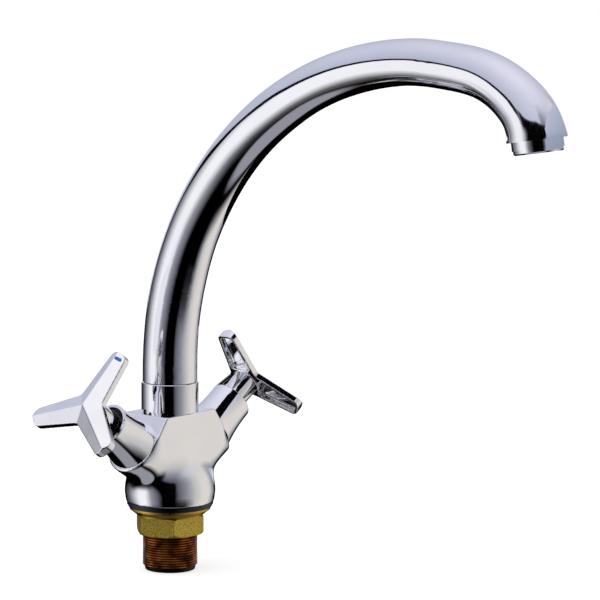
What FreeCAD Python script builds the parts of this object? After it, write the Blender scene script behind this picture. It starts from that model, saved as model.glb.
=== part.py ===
import FreeCAD, Part
import math
import os

# Two handle kitchen faucet with a swivelling arched spout.
# Millimetres. +Z is up, +X is the way the spout points at rest.
# The origin is on the shank's axis, in the plane where the base gasket meets the deck.
# The cold valve is on the -Y side and the hot valve on the +Y side.

V = FreeCAD.Vector

# ---- clearances ----
running_gap = 0.05        # radial, between parts that turn in each other
thread_gap = 0.05         # radial, between the plain stand-ins of two mating threads
face_gap = 0.10           # between two faces that turn against each other
seam = 0.30               # between two chromed parts that move past each other

# ---- under the deck: shank, gasket, washer, nut ----
shank_radius = 16.5       # M33 x 1.5
shank_pitch = 1.5
shank_thread_depth = 0.80
shank_wall = 2.2          # between the bore and the root of the thread
shank_below_deck = 40.1
shank_end_round = 2.6
shank_in_body = 12.1      # how far the shank screws into the casting
gasket_thick = 1.6
gasket_radius = 26.0
gasket_bore_gap = 0.35    # radial, between the gasket and the shank's thread
washer_thick = 1.5
washer_radius = 25.2
nut_across_flats = 38.0
nut_height = 16.2
nut_flange_radius = 24.4
nut_flange_edge = 1.6     # height of the flange's straight rim
nut_flange_cone = 2.6     # height of the cone between the rim and the groove
nut_groove_depth = 0.9
nut_groove_radius = 20.2
nut_groove_height = 0.8
nut_corner_chamfer = 2.0
nut_angle = 18.6          # how far the hexagon is turned on its thread

# ---- body casting ----
base_bottom_radius = 26.4
base_bulge_radius = 27.4
base_bulge_height = 8.0   # heights of the base and neck are above the casting's lower edge
base_shoulder_radius = 26.6
base_shoulder_height = 15.4
neck_radius = 19.0
neck_height = 26.5
neck_sink = 6.0           # how far the curve of the neck runs on inside the bosses
neck_round = 7.0          # fillet between the round base and the two bosses
body_top = 56.5
valve_centre_height = 16.4   # where the two valve axes cross the shank's axis
valve_angle = 35.0           # rise of a valve axis above the deck
boss_radius = 17.5           # half the casting's thickness as well
boss_end = 41.2              # along the valve axis, from the crossing point
boss_edge = 1.0              # bevel round the boss's end
spigot_radius = 14.4
spigot_height = 11.4
mixing_bore_radius = 7.5
mixing_bore_depth = 21.0     # below the casting's top

# ---- water ways ----
inlet_spacing = 14.0
inlet_radius = 5.0           # M10 x 1 hose tail
inlet_depth = 8.0
inlet_way_radius = 3.6
inlet_way_length = 12.0      # from the shank's socket up into the seat's way
seat_way_radius = 5.0
seat_way_length = 8.5
side_way_radius = 3.4
side_way_rise = 21.9         # above the crossing point of the valve axes

# ---- valve headwork, along the valve axis ----
chamber_depth = 21.2         # from the boss's end to the chamber's floor
chamber_radius = 11.7
chamber_thread_length = 8.2
housing_thread_radius = 10.45
seal_thick = 1.8
seal_ring_width = 2.4
disc_radius = 8.5
disc_thick = 3.0
disc_port_inner = 2.2
disc_port_outer = 7.0
disc_port_sweep = 80
housing_window_height = 5.0
housing_window_width = 8.0
spindle_foot_thick = 3.2
housing_flange_flats = 24.0
housing_flange_thick = 5.5
housing_neck_radius = 11.3
housing_neck_length = 12.7
housing_nose_radius = 6.6
housing_nose_length = 4.0
spindle_radius = 4.0
spindle_spline_radius = 3.9
spindle_spline_depth = 0.35
spindle_splines = 20
spindle_under_edge = 5.7     # from the spindle's end up to the plane of the arms' edges
spline_above_nose = 3.0
clip_thick = 0.8
clip_radius = 5.6
clip_groove_depth = 0.4
fit_gap = 0.02               # between a snap ring, bar or screw and its seat
spindle_ring_section = 0.9   # section radius of the spindle's O-ring
flange_washer_thick = 0.6

# ---- bonnets ----
bonnet_length = 26.8
bonnet_base_radius = 15.8
bonnet_waist_radius = 13.5
bonnet_waist_share = 0.6     # of the bonnet's length
bonnet_mouth_radius = 13.2
bonnet_rim = 1.9             # width of the mouth's flat rim
bonnet_mouth_bevel = 1.2
bonnet_skirt_wall = 1.3
bonnet_rim_round = 0.5

# ---- handles ----
handle_rise = 21.7           # from the bonnet's mouth to the plane of the arms' upper edges
handle_wall_depth = 4.2      # depth of the arms' side walls
handle_reach = 37.4          # centre to the end of an arm
handle_root_half = 10.0      # half the width of an arm at the centre
handle_tip_half = 6.0
handle_tip_corner = 4.2
handle_roof_slope = 0.42     # rise of a facet for each millimetre towards the ridge
handle_ridge_drop = 1.5      # fall of the ridge from the centre to the tip
handle_inner_round = 5.0
handle_shell = 1.9
handle_web = 9.6             # centre to the start of an arm's pocket
handle_arms = 3
hub_top_radius = 8.6
hub_radius = 7.6
hub_overlap = 1.6            # of the hub inside the bonnet's mouth
cold_clocking = -12.3        # turn of the marked arm from upright
hot_clocking = 1.2
screw_radius = 2.0           # M4 set screw
screw_length = 3.4
screw_above_hub = 7.6
screw_key_flats = 2.0
mark_length = 4.2
mark_width = 1.5
mark_thick = 0.5
mark_proud = 0.06
mark_from_tip = 3.9
mark_off_ridge = 2.4

# ---- collar and swivel ----
collar_height = 17.8
collar_radius = 17.2
collar_lip = 1.2
collar_round = 0.5
slide_ring_thick = 1.1
tail_depth = 10.8            # below the casting's top
tail_radius = 10.9
tail_bore_radius = 8.2
tail_flange_radius = 13.4
tail_flange_thick = 2.0
tail_neck_radius = 12.0
tail_grip = 10.1             # of the tail inside the spout
ring_section = 1.3           # section radius of the spout's O-rings
ring_squeeze = 0.12
ring_rises = (4.5, 10.0)     # of the O-rings above the tail's end

# ---- spout ----
spout_straight = 9.4
spout_bends = ((190.6, 100.6), (64.8, 34.6), (31.8, 35.2))   # radius, degrees
spout_bend_count = (10, 5, 4)
spout_base_radius = 16.4
spout_slim_radius = 13.4
spout_tip_radius = 17.0
spout_slim_at = 0.75         # share of the spout's length
spout_wall = 1.8
spout_root_height = 9.0      # solid ring that grips the tail
tip_bore_radius = 12.0
tip_bore_depth = 11.0

# ---- aerator ----
aerator_radius = 14.6
aerator_height = 7.3
aerator_step = 0.6
aerator_step_height = 2.4
aerator_bevel = 0.8
aerator_thread_height = 7.0
aerator_bore_radius = 10.4
insert_height = 9.0
insert_recess = 1.2          # how far the insert sits up inside the housing
insert_wall = 1.6
insert_floor = 2.0
insert_hole_radius = 0.9
insert_ring_count = 3
aerator_gasket_thick = 1.6
aerator_gasket_lip = 1.5

# ---- places that follow from the sizes ----
shank_bore_radius = shank_radius - shank_thread_depth - shank_wall
socket_floor = gasket_thick + shank_in_body
chamber_start = boss_end - chamber_depth
chamber_thread_start = boss_end - chamber_thread_length
seat_way_start = chamber_start - seat_way_length
seal_end = chamber_start + seal_thick
fixed_disc_end = seal_end + disc_thick
moving_disc_start = fixed_disc_end + face_gap / 2
moving_disc_end = moving_disc_start + disc_thick
foot_end = moving_disc_end + spindle_foot_thick
flange_start = boss_end + flange_washer_thick
flange_end = flange_start + housing_flange_thick
housing_neck_end = flange_end + housing_neck_length
housing_nose_end = housing_neck_end + housing_nose_length
spline_start = housing_nose_end + spline_above_nose
bonnet_end = boss_end + bonnet_length
handle_edge = bonnet_end + handle_rise
handle_apex = handle_edge + handle_roof_slope * handle_tip_half + handle_ridge_drop
handle_bottom = handle_edge - handle_wall_depth
spindle_end = handle_edge - spindle_under_edge
hub_end = bonnet_end - hub_overlap
screw_at = hub_end + screw_above_hub
collar_top = body_top + collar_height
spigot_top = body_top + spigot_height
lower_ring_top = spigot_top + slide_ring_thick
tail_flange_bottom = lower_ring_top + face_gap
tail_flange_top = tail_flange_bottom + tail_flange_thick
upper_ring_bottom = tail_flange_top + face_gap
upper_ring_top = collar_top - collar_lip
spout_bottom = collar_top + seam
tail_end = body_top - tail_depth
tail_top = spout_bottom + tail_grip


def ring(outer, inner, bottom, height):
    """A tube on the Z axis."""
    shape = Part.makeCylinder(outer, height, V(0, 0, bottom))
    if inner > 0:
        over = 1.0
        shape = shape.cut(Part.makeCylinder(inner, height + 2 * over, V(0, 0, bottom - over)))
    return shape


def turned(edges):
    """Turns a closed run of edges in the XZ plane about the Z axis."""
    face = Part.Face(Part.Wire(edges))
    return face.revolve(V(0, 0, 0), V(0, 0, 1), 360)


def run(points):
    """Straight edges through (radius, height) points."""
    places = [V(r, 0, z) for r, z in points]
    return [Part.LineSegment(a, b).toShape() for a, b in zip(places, places[1:])]


def arc(start, middle, end):
    """An arc through three (radius, height) points."""
    return Part.Arc(*[V(r, 0, z) for r, z in (start, middle, end)]).toShape()


def hexagon(across_flats, bottom, height, angle=0.0):
    corner = across_flats / math.sqrt(3)
    places = []
    for k in range(7):
        turn = math.radians(angle + 60 * k)
        places.append(V(corner * math.cos(turn), corner * math.sin(turn), bottom))
    return Part.Face(Part.makePolygon(places)).extrude(V(0, 0, height))


def on_valve(shape, side):
    """Moves a shape built up the Z axis onto the cold (-1) or the hot (+1) valve axis.
    The shape's +Y side ends up on top."""
    placed = shape.copy()
    if side > 0:
        placed.rotate(V(0, 0, 0), V(0, 0, 1), 180)
    placed.rotate(V(0, 0, 0), V(1, 0, 0), -side * (90 - valve_angle))
    placed.translate(V(0, 0, valve_centre_height))
    return placed


def save(name, shape):
    clean = shape.removeSplitter()
    clean.exportStep("parts/" + name + ".step")
    print(name, round(clean.Volume, 1), len(clean.Solids), clean.isValid())


# ---------------------------------------------------------------- under the deck

def mounting_shank():
    """Threaded brass tube that passes through the hole in the deck."""
    bottom = -shank_below_deck
    top = socket_floor
    root = shank_radius - shank_thread_depth
    crest_half = shank_pitch / 8
    first = bottom + shank_end_round
    points = [(shank_bore_radius, bottom), (root - shank_thread_depth, bottom), (root, first)]
    count = int((top - first) / shank_pitch)
    for k in range(count):
        start = first + k * shank_pitch
        points.append((shank_radius, start + shank_pitch / 2 - crest_half))
        points.append((shank_radius, start + shank_pitch / 2 + crest_half))
        points.append((root, start + shank_pitch))
    points += [(root, top), (shank_bore_radius, top), (shank_bore_radius, bottom)]
    return turned(run(points))


def base_gasket():
    """Rubber ring between the casting and the deck."""
    return ring(gasket_radius, shank_radius + gasket_bore_gap, 0, gasket_thick)


def clamp_washer():
    """Rubber washer that the nut presses against the deck from below."""
    return ring(washer_radius, shank_radius + seam, -washer_thick, washer_thick)


def lock_nut():
    """Brass hexagon nut with a coned flange, turned on its upper side."""
    top = -washer_thick
    rim = top - nut_flange_edge
    groove = rim - nut_flange_cone
    hex_top = groove - nut_groove_height
    bottom = top - nut_height
    corner = nut_across_flats / math.sqrt(3)
    cone = turned(run([
        (0, top), (nut_flange_radius, top), (nut_flange_radius, rim),
        (nut_groove_radius + nut_groove_depth, groove), (nut_groove_radius, groove),
        (nut_groove_radius, hex_top), (0, hex_top), (0, top)]))
    blank = turned(run([
        (0, hex_top), (corner - nut_corner_chamfer / 2, hex_top),
        (corner, hex_top - nut_corner_chamfer / 3), (corner, bottom + nut_corner_chamfer),
        (corner - nut_corner_chamfer, bottom), (0, bottom), (0, hex_top)]))
    prism = hexagon(nut_across_flats, bottom, hex_top - bottom, nut_angle)
    bore = Part.makeCylinder(shank_radius + thread_gap, nut_height, V(0, 0, bottom))
    return cone.fuse(blank.common(prism)).cut(bore)


# ---------------------------------------------------------------- body casting

def casting_base():
    """The round foot of the casting: a soft bulge and a hollow curve up into the bosses."""
    low = gasket_thick
    profile = [(base_bottom_radius, 0), (base_bulge_radius, base_bulge_height),
               (base_shoulder_radius, base_shoulder_height), (neck_radius, neck_height),
               (neck_radius - neck_sink, neck_height + neck_sink)]
    places = [V(r, 0, low + height) for r, height in profile]
    curve = Part.BSplineCurve()
    curve.interpolate(places)
    top = places[-1].z
    edges = run([(0, top), (0, low), (base_bottom_radius, low)])
    edges.append(curve.toShape())
    edges += run([(neck_radius - neck_sink, top), (0, top)])
    return turned(edges)


def casting_boss(side):
    """One arm of the casting: round below, square above, up to the casting's flat top."""
    rise = 2 * body_top
    r = boss_radius
    sides = [Part.LineSegment(V(-r, 0, 0), V(-r, rise, 0)).toShape(),
             Part.LineSegment(V(-r, rise, 0), V(r, rise, 0)).toShape(),
             Part.LineSegment(V(r, rise, 0), V(r, 0, 0)).toShape(),
             Part.Arc(V(r, 0, 0), V(0, -r, 0), V(-r, 0, 0)).toShape()]
    profile = Part.Face(Part.Wire(sides))
    prism = profile.extrude(V(0, 0, boss_end))
    rim = [edge for edge in prism.Edges
           if all(v.Z > boss_end - 0.001 for v in edge.Vertexes)
           and any(v.Y < rise / 2 for v in edge.Vertexes)]
    placed = on_valve(prism.makeChamfer(boss_edge, rim), side)
    size = 2 * (rise + boss_end)
    above = Part.makeBox(size, size, size, V(-size / 2, -size / 2, body_top))
    below = Part.makeBox(size, size, size, V(-size / 2, -size / 2, gasket_thick - size))
    across = Part.makeBox(size, size, size, V(-size / 2, -size if side > 0 else 0, -size / 2))
    return placed.cut(above).cut(below).cut(across)


def casting_ways():
    """Everything bored out of the casting."""
    low = gasket_thick
    ways = [Part.makeCylinder(shank_radius + thread_gap, shank_in_body, V(0, 0, low)),
            Part.makeCylinder(mixing_bore_radius, mixing_bore_depth + spigot_height + 1,
                              V(0, 0, body_top - mixing_bore_depth)),
            Part.makeCylinder(tail_radius + running_gap, spigot_top - tail_end + 1,
                              V(0, 0, tail_end - face_gap))]
    for side in (-1, 1):
        y = side * inlet_spacing / 2
        ways.append(Part.makeCylinder(inlet_radius, inlet_depth, V(0, y, socket_floor - 0.01)))
        ways.append(Part.makeCylinder(inlet_way_radius, inlet_way_length, V(0, y, socket_floor)))
        ways.append(on_valve(Part.makeCylinder(
            seat_way_radius, chamber_start - seat_way_start + 0.01, V(0, 0, seat_way_start)), side))
        ways.append(on_valve(Part.makeCylinder(
            chamber_radius, chamber_thread_start - chamber_start, V(0, 0, chamber_start)), side))
        ways.append(on_valve(Part.makeCylinder(
            housing_thread_radius + thread_gap, boss_end, V(0, 0, chamber_start)), side))
        reach = chamber_start + disc_radius
        ways.append(Part.makeCylinder(side_way_radius, reach * math.cos(math.radians(valve_angle)),
                                      V(0, 0, valve_centre_height + side_way_rise), V(0, side, 0)))
    return ways


def body_casting():
    """Chromed brass casting that carries the spout, both valves and the shank."""
    solid = casting_base().fuse([casting_boss(-1), casting_boss(1)]).removeSplitter()
    joins = [edge for edge in solid.Edges
             if isinstance(edge.Curve, Part.BSplineCurve) and edge.BoundBox.ZMin > gasket_thick + 1]
    solid = solid.makeFillet(neck_round, joins)
    solid = solid.fuse(ring(spigot_radius, 0, body_top - 1, spigot_height + 1))
    for way in casting_ways():
        solid = solid.cut(way)
    return solid


# ---------------------------------------------------------------- valves

def seat_seal():
    """Rubber ring that seals the fixed disc against the bottom of the valve chamber."""
    return ring(disc_radius, disc_radius - seal_ring_width, chamber_start, seal_thick)


def ported_disc(bottom, angle):
    """Ceramic disc with two quarter-turn ports."""
    disc = Part.makeCylinder(disc_radius, disc_thick, V(0, 0, bottom))
    for start in (angle, angle + 180):
        port = Part.makeCylinder(disc_port_outer, disc_thick, V(0, 0, bottom), V(0, 0, 1), disc_port_sweep)
        port = port.cut(Part.makeCylinder(disc_port_inner, disc_thick, V(0, 0, bottom)))
        port.rotate(V(0, 0, 0), V(0, 0, 1), start + (90 - disc_port_sweep) / 2)
        disc = disc.cut(port)
    return disc


def valve_housing():
    """Brass headwork: threaded skirt, hexagon flange, neck for the bonnet, and the nose."""
    inner = disc_radius + running_gap
    outline = [(0, seal_end), (housing_thread_radius, seal_end), (housing_thread_radius, flange_start),
               (housing_flange_flats / 2, flange_start), (housing_flange_flats / 2, flange_end),
               (housing_neck_radius, flange_end), (housing_neck_radius, housing_neck_end),
               (housing_nose_radius, housing_neck_end), (housing_nose_radius, housing_nose_end),
               (0, housing_nose_end), (0, seal_end)]
    solid = turned(run(outline))
    solid = solid.fuse(hexagon(housing_flange_flats, flange_start, housing_flange_thick))
    solid = solid.cut(Part.makeCylinder(inner, foot_end + face_gap - seal_end, V(0, 0, seal_end)))
    solid = solid.cut(Part.makeCylinder(spindle_radius + running_gap, housing_nose_end, V(0, 0, seal_end)))
    window_low = moving_disc_start + disc_thick / 3
    for angle in (0, 90):
        window = Part.makeBox(2 * chamber_radius, housing_window_width, housing_window_height,
                              V(-chamber_radius, -housing_window_width / 2, window_low))
        window.rotate(V(0, 0, 0), V(0, 0, 1), angle)
        solid = solid.cut(window)
    groove = ring(spindle_radius + 2 * spindle_ring_section, 0,
                  housing_neck_end - spindle_ring_section * 2, spindle_ring_section * 2)
    return solid.cut(groove)


def spindle():
    """Brass stem: foot with the drive bar at the bottom, splines for the handle on top."""
    stem_foot = ring(disc_radius - 4 * running_gap, 0, moving_disc_end, spindle_foot_thick)
    for angle in (0, 180):
        slot = Part.makeBox(disc_radius, housing_window_width, spindle_foot_thick,
                            V(disc_port_inner + 1, -housing_window_width / 2, moving_disc_end))
        slot.rotate(V(0, 0, 0), V(0, 0, 1), angle)
        stem_foot = stem_foot.cut(slot)
    stem = Part.makeCylinder(spindle_radius, spline_start - moving_disc_end, V(0, 0, moving_disc_end))
    points = []
    for k in range(4 * spindle_splines + 1):
        turn = 2 * math.pi * k / (4 * spindle_splines)
        r = spindle_spline_radius - (0 if k % 4 in (0, 1) else spindle_spline_depth)
        points.append(V(r * math.cos(turn), r * math.sin(turn), spline_start))
    splined = Part.Face(Part.makePolygon(points)).extrude(V(0, 0, spindle_end - spline_start))
    return stem_foot.fuse([stem, splined]).cut(clip_groove())


def clip_groove():
    """The groove that takes the snap ring above the housing's nose."""
    return ring(spindle_radius + 1, spindle_radius - clip_groove_depth,
                housing_nose_end + face_gap, clip_thick)


def spindle_clip():
    """Snap ring that keeps the spindle in its housing."""
    clip = ring(clip_radius, spindle_radius - clip_groove_depth + fit_gap, housing_nose_end + face_gap, clip_thick)
    gap = Part.makeBox(clip_radius + 1, spindle_radius, clip_thick,
                       V(0, -spindle_radius / 2, housing_nose_end + face_gap))
    return clip.cut(gap)


def spindle_ring():
    """O-ring round the spindle, under the nose."""
    centre = housing_neck_end - spindle_ring_section
    return Part.makeTorus(spindle_radius + spindle_ring_section, spindle_ring_section - fit_gap, V(0, 0, centre))


def flange_washer():
    """Thin fibre washer between the headwork's flange and the casting."""
    return ring(housing_flange_flats / 2, housing_thread_radius + 2 * thread_gap,
                boss_end, flange_washer_thick)


def bonnet():
    """Chromed cover with a waisted cone outside and a stepped bore inside."""
    low = boss_end
    rim_low = bonnet_end - bonnet_rim_round
    tip = bonnet_mouth_radius
    inner_tip = bonnet_mouth_radius - bonnet_rim
    bore = housing_neck_radius + thread_gap
    step = flange_end + face_gap
    skirt = bonnet_base_radius - bonnet_skirt_wall
    waist = (bonnet_waist_radius, low + bonnet_waist_share * bonnet_length)
    edges = [arc((bonnet_base_radius, low), waist, (tip, rim_low)),
             arc((tip, rim_low), (tip - 0.3 * bonnet_rim_round, bonnet_end - 0.3 * bonnet_rim_round),
                 (tip - bonnet_rim_round, bonnet_end))]
    edges += run([(tip - bonnet_rim_round, bonnet_end), (inner_tip, bonnet_end),
                  (bore, bonnet_end - bonnet_mouth_bevel), (bore, step), (skirt, step), (skirt, low),
                  (bonnet_base_radius, low)])
    return turned(edges)


# ---------------------------------------------------------------- handles

def half_width(along):
    return handle_root_half + (handle_tip_half - handle_root_half) * along / handle_reach


def arm_blank(inset, start, end):
    """Upright prism over one arm's plan, drawn in by inset, with rounded outer corners."""
    low = half_width(start) - inset
    high = half_width(end) - inset
    places = [V(-low, start, handle_bottom), V(low, start, handle_bottom),
              V(high, end, handle_bottom), V(-high, end, handle_bottom), V(-low, start, handle_bottom)]
    prism = Part.Face(Part.makePolygon(places)).extrude(V(0, 0, 3 * handle_wall_depth))
    upright = [edge for edge in prism.Edges
               if all(abs(v.Y - end) < 1e-6 for v in edge.Vertexes)
               and abs(edge.Vertexes[0].Z - edge.Vertexes[1].Z) > 1]
    return prism.makeFillet(handle_tip_corner - inset, upright)


def roof(drop):
    """Long ridge-roofed bar over one arm, sunk by drop below the finished surface."""
    span = 2 * handle_root_half
    top = handle_apex - drop
    eave = top - handle_roof_slope * span
    deep = handle_bottom - 2 * handle_root_half
    places = [V(-span, 0, deep), V(span, 0, deep), V(span, 0, eave),
              V(0, 0, top), V(-span, 0, eave), V(-span, 0, deep)]
    return Part.Face(Part.makePolygon(places)).extrude(V(0, handle_reach, -handle_ridge_drop))


def handle_arm():
    return arm_blank(0, 0, handle_reach).common(roof(0))


def handle_pocket():
    """The hollow on the underside of one arm."""
    blank = arm_blank(handle_shell, handle_web, handle_reach - handle_shell)
    inner = [edge for edge in blank.Edges
             if all(abs(v.Y - handle_web) < 1e-6 for v in edge.Vertexes)
             and abs(edge.Vertexes[0].Z - edge.Vertexes[1].Z) > 1]
    return blank.makeFillet(handle_tip_corner - handle_shell, inner).common(roof(handle_shell))


def inner_corner(angle):
    """Fillet piece in the corner between two arms."""
    root = half_width(0)
    lean = math.atan((handle_root_half - handle_tip_half) / handle_reach)
    half_corner = math.radians(180 / handle_arms) + lean
    corner = root * math.cos(lean) / math.sin(half_corner)
    reach = corner + handle_inner_round * (1 / math.sin(half_corner) - 1)
    touch = handle_inner_round / math.tan(half_corner)
    across = touch * math.sin(half_corner)
    along = corner + touch * math.cos(half_corner)
    places = [V(0, 0, handle_bottom), V(-across, along, handle_bottom),
              V(0, reach, handle_bottom), V(across, along, handle_bottom)]
    edges = [Part.LineSegment(places[0], places[1]).toShape(),
             Part.Arc(places[1], places[2], places[3]).toShape(),
             Part.LineSegment(places[3], places[0]).toShape()]
    web = Part.Face(Part.Wire(edges)).extrude(V(0, 0, 3 * handle_wall_depth))
    halves = []
    for turn in (-180 / handle_arms, 180 / handle_arms):
        slope = roof(0)
        slope.rotate(V(0, 0, 0), V(0, 0, 1), turn)
        halves.append(web.common(slope))
    fillet = halves[0].fuse(halves[1])
    fillet.rotate(V(0, 0, 0), V(0, 0, 1), angle)
    return fillet


def handle():
    """Chromed three-arm star handle, hollow below, with a splined hub."""
    star = None
    for k in range(handle_arms):
        arm = handle_arm()
        arm.rotate(V(0, 0, 0), V(0, 0, 1), k * 360 / handle_arms)
        star = arm if star is None else star.fuse(arm)
    corners = [inner_corner((k + 0.5) * 360 / handle_arms) for k in range(handle_arms)]
    star = star.fuse(corners)
    for k in range(handle_arms):
        pocket = handle_pocket()
        pocket.rotate(V(0, 0, 0), V(0, 0, 1), k * 360 / handle_arms)
        star = star.cut(pocket)
    hub = Part.makeCone(hub_radius, hub_top_radius, handle_edge - hub_end - handle_shell, V(0, 0, hub_end))
    socket = Part.makeCylinder(spindle_spline_radius + fit_gap, spindle_end - hub_end + fit_gap, V(0, 0, hub_end))
    relief = Part.makeCylinder(spindle_radius + seam, spline_start - hub_end + seam, V(0, 0, hub_end))
    bored = star.fuse(hub).cut(socket).cut(relief)
    hole = Part.makeCylinder(screw_radius + fit_gap, 2 * hub_top_radius, V(0, 0, screw_at), V(0, -1, 0))
    return bored.cut(hole)


def set_screw():
    """Headless M4 screw that pins the hub to the spindle's splines."""
    start = spindle_spline_radius + fit_gap
    screw = Part.makeCylinder(screw_radius, screw_length, V(0, 0, 0))
    key = hexagon(screw_key_flats, screw_length - screw_radius, screw_radius)
    screw = screw.cut(key)
    screw.rotate(V(0, 0, 0), V(1, 0, 0), 90)
    screw.translate(V(0, -start, screw_at))
    return screw


def mark_cell():
    """Upright box over the small inlaid bar near the end of the marked arm."""
    along = handle_reach - mark_from_tip
    return Part.makeBox(mark_length, mark_width, 3 * handle_wall_depth,
                        V(mark_off_ridge - mark_length / 2, along - mark_width / 2, handle_bottom))


def mark_pocket():
    """The shallow pocket for the mark; its floor follows the arm's two facets."""
    return mark_cell().cut(roof(mark_thick))


def mark_inlay():
    """Enamel that fills the pocket and stands just proud of the facets."""
    return mark_cell().common(roof(-mark_proud)).cut(roof(mark_thick))


# ---------------------------------------------------------------- swivel

def spout_collar():
    """Chromed sleeve nut that screws onto the casting's spigot and traps the spout's tail."""
    outer = ring(collar_radius, 0, body_top, collar_top - body_top)
    rims = [edge for edge in outer.Edges
            if len(edge.Vertexes) == 1 and edge.Vertexes[0].Z > collar_top - 1e-6]
    outer = outer.makeFillet(collar_round, rims)
    bore = Part.makeCylinder(spigot_radius + thread_gap, upper_ring_top - body_top, V(0, 0, body_top))
    mouth = Part.makeCylinder(tail_neck_radius + seam, collar_top, V(0, 0, body_top))
    return outer.cut(bore).cut(mouth)


def slide_rings():
    """Two plastic rings that the tail's flange turns between."""
    outer = spigot_radius - seam
    lower = ring(outer, tail_radius + seam, spigot_top, slide_ring_thick)
    upper = ring(outer, tail_neck_radius + seam, upper_ring_bottom, upper_ring_top - upper_ring_bottom)
    return Part.makeCompound([lower, upper])


def spout_tail():
    """Turned brass tail with two O-ring grooves and the flange that holds the spout."""
    solid = ring(tail_radius, 0, tail_end, tail_top - tail_end)
    solid = solid.fuse(ring(tail_flange_radius, 0, tail_flange_bottom, tail_flange_thick))
    solid = solid.fuse(ring(tail_neck_radius, 0, tail_flange_top, tail_top - tail_flange_top))
    solid = solid.cut(Part.makeCylinder(tail_bore_radius, tail_top, V(0, 0, tail_end)))
    for rise in ring_rises:
        solid = solid.cut(ring(tail_radius + 1, tail_radius + running_gap - 2 * ring_section,
                               tail_end + rise - 1.2 * ring_section, 2.4 * ring_section))
    return solid


def spout_rings():
    """The two O-rings in the tail's grooves."""
    middle = tail_radius + running_gap - ring_section
    rings = [Part.makeTorus(middle, ring_section - ring_squeeze, V(0, 0, tail_end + rise)) for rise in ring_rises]
    return Part.makeCompound(rings)


# ---------------------------------------------------------------- spout

def spout_stations():
    """Places along the spout's centre line: (distance, point, direction)."""
    stations = [(0.0, V(0, 0, spout_bottom), 90.0)]
    x, z, heading, travelled = 0.0, spout_bottom + spout_straight, 90.0, spout_straight
    stations.append((travelled, V(x, 0, z), heading))
    for (radius, degrees), count in zip(spout_bends, spout_bend_count):
        cx = x + radius * math.sin(math.radians(heading))
        cz = z - radius * math.cos(math.radians(heading))
        for k in range(1, count + 1):
            now = heading - degrees * k / count
            turn = math.radians(now)
            place = V(cx - radius * math.sin(turn), 0, cz + radius * math.cos(turn))
            stations.append((travelled + radius * math.radians(degrees) * k / count, place, now))
        travelled, last, heading = stations[-1]
        x, z = last.x, last.z
    return stations


def spout_radius(share):
    """Outer radius of the spout at a share of its length: it slims, then flares to the tip."""
    if share < spout_slim_at:
        u = share / spout_slim_at
        return spout_base_radius + (spout_slim_radius - spout_base_radius) * (3 * u ** 2 - 2 * u ** 3)
    u = (share - spout_slim_at) / (1 - spout_slim_at)
    return spout_slim_radius + (spout_tip_radius - spout_slim_radius) * u ** 3


def section(place, heading, radius):
    circle = Part.Circle()
    circle.Center = place
    circle.Axis = V(math.cos(math.radians(heading)), 0, math.sin(math.radians(heading)))
    circle.XAxis = V(0, 1, 0)
    circle.Radius = radius
    return Part.Wire(circle.toShape())


def spout_skin(inset, skip):
    """Loft along the spout, drawn in by inset, without the first skip millimetres."""
    stations = spout_stations()
    length = stations[-1][0]
    wires = []
    for distance, place, heading in stations:
        if distance >= skip:
            wires.append(section(place, heading, spout_radius(distance / length) - inset))
    return Part.makeLoft(wires, True, False)


def at_tip(shape):
    """Moves a shape built down from the XY plane (towards -Z) to the spout's open end."""
    distance, place, heading = spout_stations()[-1]
    placed = shape.copy()
    placed.rotate(V(0, 0, 0), V(0, 1, 0), -(heading + 90))
    placed.translate(place)
    return placed


def spout_tube():
    """Hollow chromed spout, with a thick root for the tail and a thick tip for the aerator."""
    solid = spout_skin(0, 0)
    hollow = spout_skin(spout_wall, spout_straight - 0.01)
    tip_land = at_tip(ring(2 * spout_tip_radius, 0, -1, tip_bore_depth + 1))
    hollow = hollow.cut(tip_land)
    bore = Part.makeCylinder(tail_neck_radius + fit_gap, tail_grip + 2, V(0, 0, spout_bottom - 1))
    mouth = at_tip(ring(tip_bore_radius, 0, -1, tip_bore_depth + 2))
    return solid.cut(hollow).cut(bore).cut(mouth)


def aerator_housing():
    """Chromed ring that screws up into the spout's tip."""
    low = -aerator_height
    step = low + aerator_step_height
    outer = aerator_radius
    thread = tip_bore_radius - thread_gap
    shape = turned(run([
        (aerator_bore_radius, aerator_thread_height), (thread, aerator_thread_height), (thread, 0),
        (outer, 0), (outer, step), (outer - aerator_step, step), (outer - aerator_step, low + aerator_bevel),
        (outer - aerator_step - aerator_bevel, low), (aerator_bore_radius, low),
        (aerator_bore_radius, aerator_thread_height)]))
    return at_tip(shape)


def aerator_insert():
    """Plastic jet former with rings of small holes."""
    low = insert_recess - aerator_height
    plug = ring(aerator_bore_radius - thread_gap, 0, low, insert_height)
    plug = plug.cut(Part.makeCylinder(aerator_bore_radius - insert_wall, insert_height, V(0, 0, low + insert_floor)))
    step = (aerator_bore_radius - insert_wall - 2 * insert_hole_radius) / insert_ring_count
    places = [(0, 0)]
    for ring_number in range(1, insert_ring_count + 1):
        count = 6 * ring_number
        for k in range(count):
            turn = 2 * math.pi * k / count
            places.append((ring_number * step * math.cos(turn), ring_number * step * math.sin(turn)))
    holes = [Part.makeCylinder(insert_hole_radius, 2 * insert_floor, V(x, y, low - 1)) for x, y in places]
    return at_tip(plug.cut(Part.makeCompound(holes)))


def aerator_gasket():
    """Flat rubber ring between the aerator and the spout."""
    return at_tip(ring(tip_bore_radius - seam, aerator_bore_radius - aerator_gasket_lip,
                       aerator_thread_height, aerator_gasket_thick))


# ---------------------------------------------------------------- the whole faucet

os.makedirs("parts", exist_ok=True)

save("mounting_shank", mounting_shank())
save("base_gasket", base_gasket())
save("clamp_washer", clamp_washer())
save("lock_nut", lock_nut())
save("body_casting", body_casting())

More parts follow.
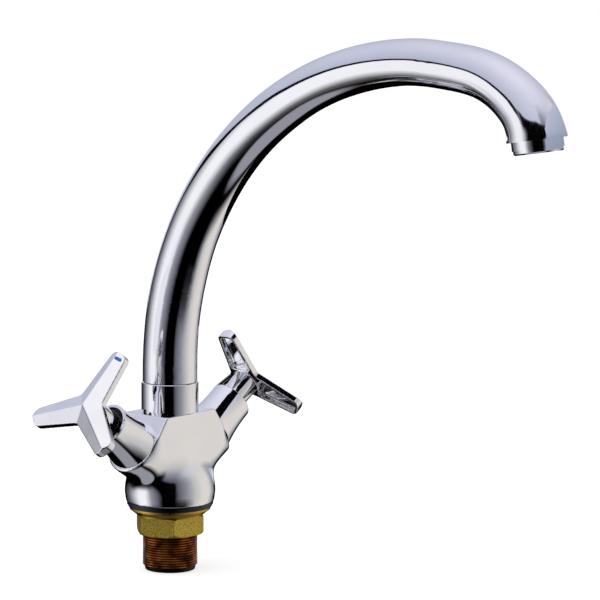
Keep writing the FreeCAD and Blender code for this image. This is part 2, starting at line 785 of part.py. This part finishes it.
marked_handle = handle().cut(mark_pocket())
for name, side, clocking in (("cold", -1, cold_clocking), ("hot", 1, hot_clocking)):
    save(name + "_seat_seal", on_valve(seat_seal(), side))
    save(name + "_fixed_disc", on_valve(ported_disc(seal_end, 0), side))
    save(name + "_moving_disc", on_valve(ported_disc(moving_disc_start, 90), side))
    save(name + "_valve_housing", on_valve(valve_housing(), side))
    save(name + "_spindle", on_valve(spindle(), side))
    save(name + "_spindle_ring", on_valve(spindle_ring(), side))
    save(name + "_spindle_clip", on_valve(spindle_clip(), side))
    save(name + "_flange_washer", on_valve(flange_washer(), side))
    save(name + "_bonnet", on_valve(bonnet(), side))
    clocked = [marked_handle.copy(), mark_inlay(), set_screw()]
    for shape, node in zip(clocked, ("_handle", "_mark", "_set_screw")):
        shape.rotate(V(0, 0, 0), V(0, 0, 1), clocking)
        save(name + node, on_valve(shape, side))

save("spout_collar", spout_collar())
save("slide_rings", slide_rings())
save("spout_tail", spout_tail())
save("spout_rings", spout_rings())
save("spout_tube", spout_tube())
save("aerator_housing", aerator_housing())
save("aerator_insert", aerator_insert())
save("aerator_gasket", aerator_gasket())
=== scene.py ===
import bpy
import math
from mathutils import Matrix, Vector


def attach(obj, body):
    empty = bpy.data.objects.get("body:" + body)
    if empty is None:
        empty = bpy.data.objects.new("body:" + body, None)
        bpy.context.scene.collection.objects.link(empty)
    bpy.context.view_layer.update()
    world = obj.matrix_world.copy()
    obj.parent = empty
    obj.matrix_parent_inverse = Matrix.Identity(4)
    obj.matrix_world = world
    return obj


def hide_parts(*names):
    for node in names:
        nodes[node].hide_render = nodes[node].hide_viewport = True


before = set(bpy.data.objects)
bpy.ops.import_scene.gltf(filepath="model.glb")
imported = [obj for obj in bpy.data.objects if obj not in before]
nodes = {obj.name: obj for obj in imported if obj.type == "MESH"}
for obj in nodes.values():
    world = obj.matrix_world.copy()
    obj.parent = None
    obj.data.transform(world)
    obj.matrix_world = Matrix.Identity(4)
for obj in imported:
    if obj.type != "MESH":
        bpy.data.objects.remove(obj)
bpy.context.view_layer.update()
scene = bpy.context.scene

# Camera: a long lens from the front left, a little above the body and turned by a quarter of a degree.
azimuth, elevation, roll = math.radians(39.637), math.radians(7.892), math.radians(0.27)
camera_place = (1.3827, -1.5473, 0.4112)
level = Vector((math.cos(azimuth), math.sin(azimuth), 0))
back = Vector((math.sin(azimuth) * math.cos(elevation), -math.cos(azimuth) * math.cos(elevation),
               math.sin(elevation)))
upright = back.cross(level)
side = level * math.cos(roll) + upright * math.sin(roll)
top = upright * math.cos(roll) - level * math.sin(roll)
bpy.ops.object.camera_add()
camera = bpy.context.object
camera.name = "photo_camera"
camera.data.lens = 210
camera.data.sensor_width = 36
camera.data.clip_end = 20
camera.matrix_world = Matrix.Translation(camera_place) @ Matrix((side, top, back)).transposed().to_4x4()
scene.camera = camera
scene.view_settings.view_transform = "Standard"

# Studio: a pale tent. Diffuse light and the camera see plain white; polished metal sees a bright wall on
# the left, a black opening round the camera, a warm wall on the right and a lavender ceiling over a rim.
world = bpy.data.worlds.new("tent")
scene.world = world
world.use_nodes = True
tree = world.node_tree
tree.nodes.clear()


def put(kind, inputs=(), **settings):
    """Adds a node to the tree in hand; an input is a value or another node's output."""
    made = tree.nodes.new(kind)
    for key, value in settings.items():
        setattr(made, key, value)
    for place, value in dict(inputs).items():
        if isinstance(value, bpy.types.NodeSocket):
            tree.links.new(value, made.inputs[place])
        else:
            made.inputs[place].default_value = value
    return made


def sums(operation, a, b=0.0, c=0.0):
    return put("ShaderNodeMath", {0: a, 1: b, 2: c}, operation=operation).outputs[0]


def linear(shade):
    return tuple((c / 255) ** 2.2 for c in shade) + (1,)


def bands(value, stops):
    """Colour ramp whose shades are written as they look on screen, 0 to 255."""
    made = put("ShaderNodeValToRGB", {0: value})
    elements = made.color_ramp.elements
    for k, (place, shade) in enumerate(stops):
        spot = elements[k] if k < 2 else elements.new(place)
        spot.position = place
        spot.color = linear(shade if isinstance(shade, tuple) else (shade, shade, shade))
    return made.outputs[0]


def blend(share, a, b):
    return put("ShaderNodeMix", {0: share, 6: a, 7: b}, data_type="RGBA").outputs[2]


turned = put("ShaderNodeVectorRotate", {"Vector": put("ShaderNodeTexCoord").outputs["Generated"],
                                        "Angle": -azimuth}, rotation_type="Z_AXIS")
split = put("ShaderNodeSeparateXYZ", {0: turned.outputs[0]})
bearing = sums("ARCTAN2", split.outputs[0], sums("MULTIPLY", split.outputs[1], -1.0))
around = sums("MULTIPLY_ADD", bearing, 0.5 / math.pi, 0.5)
height = sums("MULTIPLY_ADD", sums("ARCSINE", split.outputs[2]), 1 / math.pi, 0.5)


def by_bearing(stops):
    """Ramp round the horizon: degrees to the right of the camera's own direction."""
    return bands(around, [((degree + 180) / 360, shade) for degree, shade in stops])


def by_height(stops):
    """Ramp over elevation, in degrees above the horizon."""
    return bands(height, [((degree + 90) / 180, shade) for degree, shade in stops])


# The tent is hung with cloth in a few plain shades, and its light fades evenly from one to the next.
pitch = linear((0, 0, 0))
black, slate, silver, white = (10, 10, 10), (90, 90, 100), (145, 145, 155), (245, 245, 250)
pale_grey, warm_white = (190, 190, 190), (220, 215, 210)
low_lavender, high_lavender = (180, 185, 205), (225, 225, 240)
wall = by_bearing([
    (-180, black), (-152, black), (-130, slate), (-116, silver), (-86, white), (-66, white), (-48, silver),
    (-28, slate), (-18, 0), (15, 0), (24, slate), (50, silver), (72, pale_grey), (95, warm_white),
    (120, warm_white), (142, silver), (154, black)])
ceiling = by_height([(15, low_lavender), (80, high_lavender)])
behind = by_bearing([(-160, 255), (-147, 0), (150, 0), (162, 255)])
glare = sums("MULTIPLY", behind, by_height([(4, 255), (12, 0)]))
ceiling = blend(glare, ceiling, linear(white))

# The wall ends at a rim, given here as bearing and elevation in degrees. The curve starts at rim_floor.
rims = [(-180, -6), (-150, -5), (-130, 12), (-100, 17), (-80, 13), (-40, 22), (0, 31), (33, 33), (60, 30),
        (130, 30), (150, -6), (180, -6)]
rim_floor, rim_span = -36, 90
rim = put("ShaderNodeFloatCurve", {1: around})
curve = rim.mapping.curves[0]
spots = [((degree + 180) / 360, (lift - rim_floor) / rim_span) for degree, lift in rims]
curve.points[0].location = spots[0]
curve.points[1].location = spots[-1]
for spot in spots[1:-1]:
    curve.points.new(*spot)
for point in curve.points:
    point.handle_type = "VECTOR"
rim.mapping.update()
rim_height = sums("MULTIPLY_ADD", rim.outputs[0], rim_span / 180, (rim_floor + 90) / 180)
above = sums("SUBTRACT", height, rim_height)
near_rim = sums("MULTIPLY_ADD", above, 180 / 20, 0.5)
far_rim = sums("MULTIPLY_ADD", above, 180 / 60, 0.5)
crisp = bands(near_rim, [(0.46, 0), (0.53, 255)])
gentle = bands(far_rim, [(0.30, 0), (0.5, 110), (0.70, 205), (0.88, 255)])
soft_side = by_bearing([(12, 0), (26, 255), (136, 255), (148, 0)])
room = blend(blend(soft_side, crisp, gentle), wall, ceiling)

# Three black edges lie under the rim: a thin line on the left, a hood over the camera, and below the hood a
# curtain whose right side leans outward.
line_side = by_bearing([(-146, 0), (-138, 255), (-62, 255), (-54, 0)])
slit = bands(near_rim, [(0.20, 0), (0.26, 255), (0.50, 255), (0.56, 0)])
room = blend(sums("MULTIPLY", line_side, slit), room, pitch)
dark_side = by_bearing([(-64, 0), (-54, 255), (18, 255), (24, 0)])
hood = bands(near_rim, [(0.06, 0), (0.18, 255), (0.48, 255), (0.57, 0)])
room = blend(sums("MULTIPLY", dark_side, hood), room, pitch)
lean = 0.3
leaning = sums("SUBTRACT", around, sums("MULTIPLY_ADD", height, lean, -lean / 2))
curtain_stops = [(-58, 0), (-48, 255), (13, 255), (16, 0)]
curtain_side = bands(leaning, [((degree + 180) / 360, shade) for degree, shade in curtain_stops])
curtain = sums("MULTIPLY", by_height([(-2, 0), (3, 255)]), bands(near_rim, [(0.48, 255), (0.57, 0)]))
room = blend(sums("MULTIPLY", curtain_side, curtain), room, pitch)

# Toward the floor the walls darken, each side at its own height, and the floor itself is grey.
cold_low = by_height([(-65, 30), (-50, 110), (-28, 255)])
warm_low = by_height([(-60, 20), (-46, 255)])
warm_side = by_bearing([(45, 0), (75, 255), (140, 255), (155, 0)])
cold_side = by_bearing([(-122, 0), (-98, 255), (-30, 255), (-16, 0)])
dim_low = by_height([(-40, 0), (-28, 120), (-18, 255)])
shade_low = blend(warm_side, blend(cold_side, dim_low, cold_low), warm_low)
darkened = put("ShaderNodeMix", {0: 1.0, 6: room, 7: shade_low}, data_type="RGBA", blend_type="MULTIPLY")
room = blend(by_height([(-70, 255), (-64, 0)]), darkened.outputs[2], linear(silver))
path = put("ShaderNodeLightPath")
mirror = put("ShaderNodeBackground", {0: room, 1: 1.0})
plain = put("ShaderNodeBackground", {0: (1, 1, 1, 1), 1: 0.85})
backdrop = put("ShaderNodeBackground", {0: (1, 1, 1, 1), 1: 1.0})
lights = put("ShaderNodeMixShader", {0: path.outputs["Is Glossy Ray"], 1: plain.outputs[0],
                                     2: mirror.outputs[0]})
seen = put("ShaderNodeMixShader", {0: path.outputs["Is Camera Ray"], 1: lights.outputs[0],
                                   2: backdrop.outputs[0]})
put("ShaderNodeOutputWorld", {0: seen.outputs[0]})

# Floor: white paper just under the shank, which keeps a soft shadow and which the chrome doesn't mirror.
bpy.ops.mesh.primitive_plane_add(size=8, location=(0, 0, -0.0403))
floor = bpy.context.object
floor.name = "floor"
floor.visible_glossy = False
paper = bpy.data.materials.new("floor_paper")
paper.use_nodes = True
tree = paper.node_tree
tree.nodes.clear()
flat = put("ShaderNodeBsdfDiffuse", {0: (0.55, 0.55, 0.55, 1)})
glow = put("ShaderNodeEmission", {0: (1, 1, 1, 1), 1: 0.62})
eye = put("ShaderNodeLightPath")
unlit = put("ShaderNodeEmission", {1: 0.0})
seen = put("ShaderNodeMixShader", {0: eye.outputs["Is Camera Ray"], 1: unlit.outputs[0],
                                   2: glow.outputs[0]})
both = put("ShaderNodeAddShader", {0: flat.outputs[0], 1: seen.outputs[0]})
put("ShaderNodeOutputMaterial", {0: both.outputs[0]})
floor.data.materials.append(paper)

# Cards: sheets in the tent that only polished metal sees, each for one part of the faucet.


def sheet(name, place, turn, width, depth):
    """Adds a plane that shows in reflections alone. Its material's tree is then in hand."""
    global tree
    angles = [math.radians(angle) for angle in turn]
    bpy.ops.mesh.primitive_plane_add(size=1, location=place, rotation=angles)
    made = bpy.context.object
    made.name = name
    made.scale = (width, depth, 1)
    made.visible_camera = False
    made.visible_diffuse = False
    made.visible_shadow = False
    made.visible_transmission = False
    paint = bpy.data.materials.new(name)
    paint.use_nodes = True
    tree = paint.node_tree
    tree.nodes.clear()
    made.data.materials.append(paint)


def lit(shade, gone=None):
    """Ends the sheet's material: it glows in a shade, and is clear where gone is 1."""
    shown = put("ShaderNodeEmission", {0: shade, 1: 1.0}).outputs[0]
    if gone is not None:
        clear = put("ShaderNodeBsdfTransparent").outputs[0]
        shown = put("ShaderNodeMixShader", {0: gone, 1: shown, 2: clear}).outputs[0]
    put("ShaderNodeOutputMaterial", {0: shown})


# The roof card whitens the near handle's upward facets. It is clear from above, for the spout's sake.
sheet("roof_card", (-0.006, -0.142, 0.18), (180, 0, 0), 0.075, 0.11)
lit(linear(white), put("ShaderNodeNewGeometry").outputs["Backfacing"])

# The side card whitens the near handle's lower facets.
sheet("side_card", (-0.085, -0.195, 0.089), (90, 0, 147.6), 0.09, 0.052)
lit(linear((230, 230, 240)))

# The nozzle card stands at the right of the nozzle, grey-blue and paler at the top. Metal more than 15 cm
# away doesn't see it, so that it stays out of the casting.
sheet("nozzle_card", (0.331, 0.0345, 0.248), (90, 0, 119.6), 0.19, 0.115)
upward = put("ShaderNodeSeparateXYZ", {0: put("ShaderNodeTexCoord").outputs["Object"]}).outputs[1]
pale = bands(sums("ADD", upward, 0.5), [(0.35, (140, 150, 170)), (0.98, (185, 190, 210))])
lit(pale, sums("GREATER_THAN", put("ShaderNodeLightPath").outputs["Ray Length"], 0.15))

# The flag is black, and darkens the walls of the far handle's arms.
sheet("flag", (0.055, 0.075, 0.142), (0, 24, 0), 0.06, 0.06)
lit(linear(black))

# Key lamp: one large soft lamp at the left of the camera. The chrome doesn't mirror it.
bpy.ops.object.light_add(type="AREA", location=(-0.5, -0.9, 1.2))
lamp = bpy.context.object
lamp.name = "key_lamp"
lamp.data.energy = 6
lamp.data.size = 0.6
lamp.rotation_euler = (Vector((0, 0, 0.1)) - lamp.location).to_track_quat("-Z", "Y").to_euler()
lamp.visible_glossy = False

# Surface grain: the pattern that every finish on the faucet shares. It gives a fine and a broad mask,
# and a normal that carries the swell of polished metal and the grain of a cast or moulded skin.
grain = bpy.data.node_groups.new("surface_grain", "ShaderNodeTree")
for name, preset in (("Fine", 900.0), ("Broad", 45.0), ("Swell", 0.0002), ("Depth", 0.00001)):
    grain.interface.new_socket(name, in_out="INPUT", socket_type="NodeSocketFloat").default_value = preset
for name, kind in (("Fine Mask", "NodeSocketFloat"), ("Broad Mask", "NodeSocketFloat"),
                   ("Normal", "NodeSocketVector")):
    grain.interface.new_socket(name, in_out="OUTPUT", socket_type=kind)
tree = grain
given = put("NodeGroupInput").outputs
spot = put("ShaderNodeTexCoord").outputs["Object"]
fine = put("ShaderNodeTexNoise", {"Vector": spot, "Scale": given["Fine"], "Detail": 4.0}).outputs[0]
broad = put("ShaderNodeTexNoise", {"Vector": spot, "Scale": given["Broad"], "Detail": 1.5}).outputs[0]
swell = put("ShaderNodeBump", {"Strength": 1.0, "Distance": given["Swell"], "Height": broad}).outputs[0]
rough = put("ShaderNodeBump", {"Strength": 1.0, "Distance": given["Depth"], "Height": fine,
                               "Normal": swell}).outputs[0]
put("NodeGroupOutput", {0: fine, 1: broad, 2: rough})


def finish(slot, shades, metal, roughness, fine, broad, swell, depth):
    """Gives a slot its skin: two shades mixed by the broad mask, and a matt and a gloss by the fine mask."""
    global tree
    tree = bpy.data.materials[slot].node_tree
    tree.nodes.clear()
    group = put("ShaderNodeGroup", node_tree=grain)
    for place, value in (("Fine", fine), ("Broad", broad), ("Swell", swell), ("Depth", depth)):
        group.inputs[place].default_value = value
    skin = put("ShaderNodeBsdfPrincipled", {"Metallic": metal, "Normal": group.outputs["Normal"]})
    if shades:
        dark, light = shades
        shade = bands(group.outputs["Broad Mask"], [(0.32, dark), (0.68, light)])
        tree.links.new(shade, skin.inputs["Base Color"])
    if roughness:
        matt, gloss = roughness
        spread = put("ShaderNodeMapRange", {"Value": group.outputs["Fine Mask"], "From Min": 0.3,
                                            "From Max": 0.7, "To Min": gloss, "To Max": matt})
        tree.links.new(spread.outputs[0], skin.inputs["Roughness"])
    put("ShaderNodeOutputMaterial", {0: skin.outputs[0]})
    return skin, group


# Chromed skins. The casting and handles were polished by hand and swell a little; the spout, collar,
# bonnets and nozzle were turned or drawn and are truer.
finish("body_chrome", ((246, 246, 248), (252, 252, 253)), 1.0, (0.07, 0.04), 1400, 34, 0.00045, 0.000002)
finish("handle_chrome", ((246, 246, 248), (252, 252, 253)), 1.0, (0.07, 0.04), 1400, 70, 0.00016, 0.000002)
finish("bonnet_chrome", ((245, 245, 248), (251, 251, 253)), 1.0, (0.06, 0.03), 1600, 40, 0.00012, 0.0000015)
finish("collar_chrome", ((245, 245, 248), (251, 251, 253)), 1.0, (0.06, 0.03), 1600, 50, 0.00010, 0.0000015)
finish("spout_chrome", ((245, 245, 248), (251, 251, 253)), 1.0, (0.08, 0.04), 1600, 26, 0.00030, 0.000002)
finish("aerator_chrome", ((245, 245, 248), (251, 251, 253)), 1.0, (0.06, 0.03), 1600, 50, 0.00008,
       0.0000015)

# Casting and handles: the same shapes with every edge rounded as polishing leaves it. On the casting the
# waist between the round foot and the flat front is drawn into one long hollow curve.


def polished(node, name, body, voxel, passes):
    """A rounded copy of a node, on its own mesh."""
    source = nodes[node]
    piece = source.copy()
    piece.data = source.data.copy()
    piece.name = name
    piece.parent = None
    for key in list(piece.keys()):
        del piece[key]
    scene.collection.objects.link(piece)
    bpy.ops.object.select_all(action="DESELECT")
    piece.select_set(True)
    bpy.context.view_layer.objects.active = piece
    bpy.ops.mesh.customdata_custom_splitnormals_clear()
    bpy.ops.object.mode_set(mode="EDIT")
    bpy.ops.mesh.select_all(action="SELECT")
    bpy.ops.mesh.remove_doubles(threshold=0.000002)
    bpy.ops.object.mode_set(mode="OBJECT")
    made = piece.modifiers.new("skin", "REMESH")
    made.mode = "VOXEL"
    made.voxel_size = voxel
    made.use_smooth_shade = True
    bpy.ops.object.modifier_apply(modifier="skin")
    rounds = piece.modifiers.new("round", "SMOOTH")
    rounds.iterations = passes
    bpy.ops.object.modifier_apply(modifier="round")
    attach(piece, body)
    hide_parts(node)
    return piece


def fade(value, start, end):
    share = min(max((value - start) / (end - start), 0), 1)
    return share * share * (3 - 2 * share)


casting = polished("body_casting", "casting_polished", "body", 0.0006, 6)
waist = casting.vertex_groups.new(name="waist")
for vertex in casting.data.vertices:
    x, y, z = vertex.co
    weight = fade(z, 0.007, 0.015) * fade(z, 0.046, 0.034) * fade(abs(y), 0.040, 0.033)
    if weight > 0:
        waist.add([vertex.index], weight, "REPLACE")
flow = casting.modifiers.new("flow", "SMOOTH")
flow.vertex_group = "waist"
flow.iterations = 500
bpy.ops.object.modifier_apply(modifier="flow")
polished("cold_handle", "cold_handle_polished", "cold_valve", 0.0004, 3)
polished("hot_handle", "hot_handle_polished", "hot_valve", 0.0004, 3)

# Shank: threaded brass pipe gone brown, darker in the thread's roots and with rust-red patches.
skin, group = finish("shank_metal", None, 0.85, (0.50, 0.24), 1500, 170, 0.00005, 0.00006)
reach = put("ShaderNodeSeparateXYZ", {0: put("ShaderNodeTexCoord").outputs["Object"]}).outputs
flat = put("ShaderNodeCombineXYZ", {0: reach[0], 1: reach[1]}).outputs[0]
from_axis = put("ShaderNodeVectorMath", {0: flat}, operation="LENGTH").outputs["Value"]
root_radius, crest_radius = 0.01575, 0.01645
crest = put("ShaderNodeMapRange", {"Value": from_axis, "From Min": root_radius, "From Max": crest_radius})
patch = bands(group.outputs["Broad Mask"], [(0.34, (84, 42, 20)), (0.5, (146, 78, 38)),
                                            (0.66, (204, 128, 66))])
# The colour at the thread's roots, far darker than at the crests; it is blended in by distance from the
# axis.
root_tone = linear((30, 15, 8))
tree.links.new(blend(crest.outputs[0], root_tone, patch), skin.inputs["Base Color"])

# Lock nut: yellow brass. The flange and cone are turned and bright, the hexagon keeps its sandy cast skin.
skin, group = finish("nut_brass", None, 0.95, None, 2300, 120, 0.00005, 0.00007)
reach = put("ShaderNodeSeparateXYZ", {0: put("ShaderNodeTexCoord").outputs["Object"]}).outputs
turned_end, cast_start = -0.0062, -0.0070
is_cast = put("ShaderNodeMapRange", {"Value": reach[2], "From Min": turned_end,
                                     "From Max": cast_start}).outputs[0]
sand = bands(group.outputs["Fine Mask"], [(0.3, (104, 82, 20)), (0.5, (206, 174, 64)),
                                          (0.7, (250, 234, 140))])
lathe = put("ShaderNodeTexNoise", {"Vector": put("ShaderNodeCombineXYZ", {2: reach[2]}).outputs[0],
                                   "Scale": 2600.0, "Detail": 2.0}).outputs[0]
bright = bands(lathe, [(0.3, (150, 112, 34)), (0.7, (226, 194, 96))])
tree.links.new(blend(is_cast, bright, sand), skin.inputs["Base Color"])
spread = put("ShaderNodeMapRange", {"Value": is_cast, "To Min": 0.2, "To Max": 0.46}).outputs[0]
tree.links.new(spread, skin.inputs["Roughness"])

# Rubber: the gasket under the foot, the O-rings and seals, and the washer above the lock nut.
finish("black_rubber", ((2, 2, 3), (7, 7, 8)), 0.0, (0.30, 0.16), 1800, 90, 0.00004, 0.00001)
finish("washer_rubber", ((5, 5, 6), (12, 12, 13)), 0.0, (0.45, 0.30), 1500, 90, 0.00004, 0.00002)

# Colour marks: blue and red enamel filled into the tips of two arms.
finish("cold_enamel", ((10, 72, 190), (24, 96, 222)), 0.0, (0.22, 0.12), 1200, 400, 0.00004, 0.000004)
finish("hot_enamel", ((176, 18, 22), (206, 34, 34)), 0.0, (0.22, 0.12), 1200, 400, 0.00004, 0.000004)

# Inner parts: turned brass painted dark grey as painted shade for its place deep in the bonnets,
# ceramic discs, spring steel, fibre washers and the two plastics.
# Painted shade: the brass headwork is given a dark grey colour because it lies in shade inside the bonnets.
finish("turned_brass", ((64, 60, 54), (108, 102, 92)), 1.0, (0.32, 0.18), 2600, 150, 0.00001, 0.000002)
finish("disc_ceramic", ((226, 224, 214), (242, 240, 232)), 0.0, (0.30, 0.18), 2000, 120, 0.00001, 0.000002)
finish("clip_steel", ((120, 120, 124), (176, 176, 180)), 1.0, (0.36, 0.22), 2400, 200, 0.00002, 0.000006)
finish("fibre_washer", ((92, 60, 36), (130, 92, 58)), 0.0, (0.85, 0.65), 2600, 300, 0.00004, 0.00003)
finish("white_plastic", ((222, 221, 214), (238, 237, 231)), 0.0, (0.42, 0.30), 1500, 150, 0.00002, 0.000006)
finish("aerator_plastic", ((196, 198, 200), (224, 226, 228)), 0.0, (0.40, 0.26), 1500, 200, 0.00002,
       0.000006)
